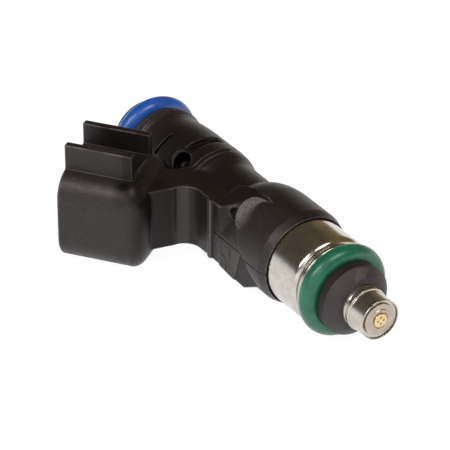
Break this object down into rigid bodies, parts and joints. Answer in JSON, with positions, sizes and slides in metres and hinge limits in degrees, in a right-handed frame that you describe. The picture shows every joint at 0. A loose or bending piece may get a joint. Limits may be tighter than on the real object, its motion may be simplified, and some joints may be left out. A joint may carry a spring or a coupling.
{
  "type": "fuel injector",
  "caption": "Compact port fuel injector with a moulded black body, a swept side connector, a steel lower housing, two O-rings and a sprung needle valve.",
  "frame": {"origin": "on the injector's axis, at the middle of the lower O-ring", "axes": "+X along the axis towards the spray tip, +Z towards the side with the connector's latch rails, and the connector reaches out on the -Y side and back along -X"},
  "size_m": [0.0651, 0.0325, 0.0188],
  "materials": {
    "black_nylon": "moulded, semi-matte",
    "blue_rubber": "smooth, slightly oily",
    "green_rubber": "smooth, slightly oily",
    "black_ring": "moulded",
    "grey_plastic": "moulded",
    "bright_steel": "drawn, bright",
    "tip_steel": "turned",
    "brass": "satin",
    "nylon_mesh": "woven",
    "spring_steel": "drawn wire",
    "core_iron": "turned",
    "bobbin_plastic": "moulded",
    "copper": "enamelled wire",
    "tinned": "tinned",
    "ball_steel": "lapped"
  },
  "bodies": {
    "injector_body": {"overmould": "black_nylon", "upper_o_ring": "blue_rubber", "upper_support_ring": "black_ring", "lower_o_ring": "green_rubber", "backing_ring": "bright_steel", "lower_cap": "grey_plastic", "magnet_housing": "bright_steel", "valve_body": "tip_steel", "orifice_plate": "brass", "plate_retainer": "tip_steel", "valve_seat": "tip_steel", "guide_ring": "tip_steel", "inlet_tube": "bright_steel", "filter_frame": "black_ring", "filter_mesh": "nylon_mesh", "adjusting_sleeve": "bright_steel", "return_spring": "spring_steel", "pole_core": "core_iron", "non_magnetic_ring": "bright_steel", "flux_washer": "core_iron", "coil_bobbin": "bobbin_plastic", "coil_winding": "copper", "coil_pin_1": "tinned", "coil_pin_2": "tinned", "terminal_1": "tinned", "terminal_2": "tinned"},
    "needle": {"armature": "core_iron", "needle_tube": "bright_steel", "valve_ball": "ball_steel"}
  },
  "joints": [
    {"name": "needle_lift", "type": "slide", "parent": "injector_body", "child": "needle", "axis": [-1, 0, 0], "range_m": [0, 0.00008], "stiffness_N_per_m": 3000, "springref_m": -0.001}
  ]
}
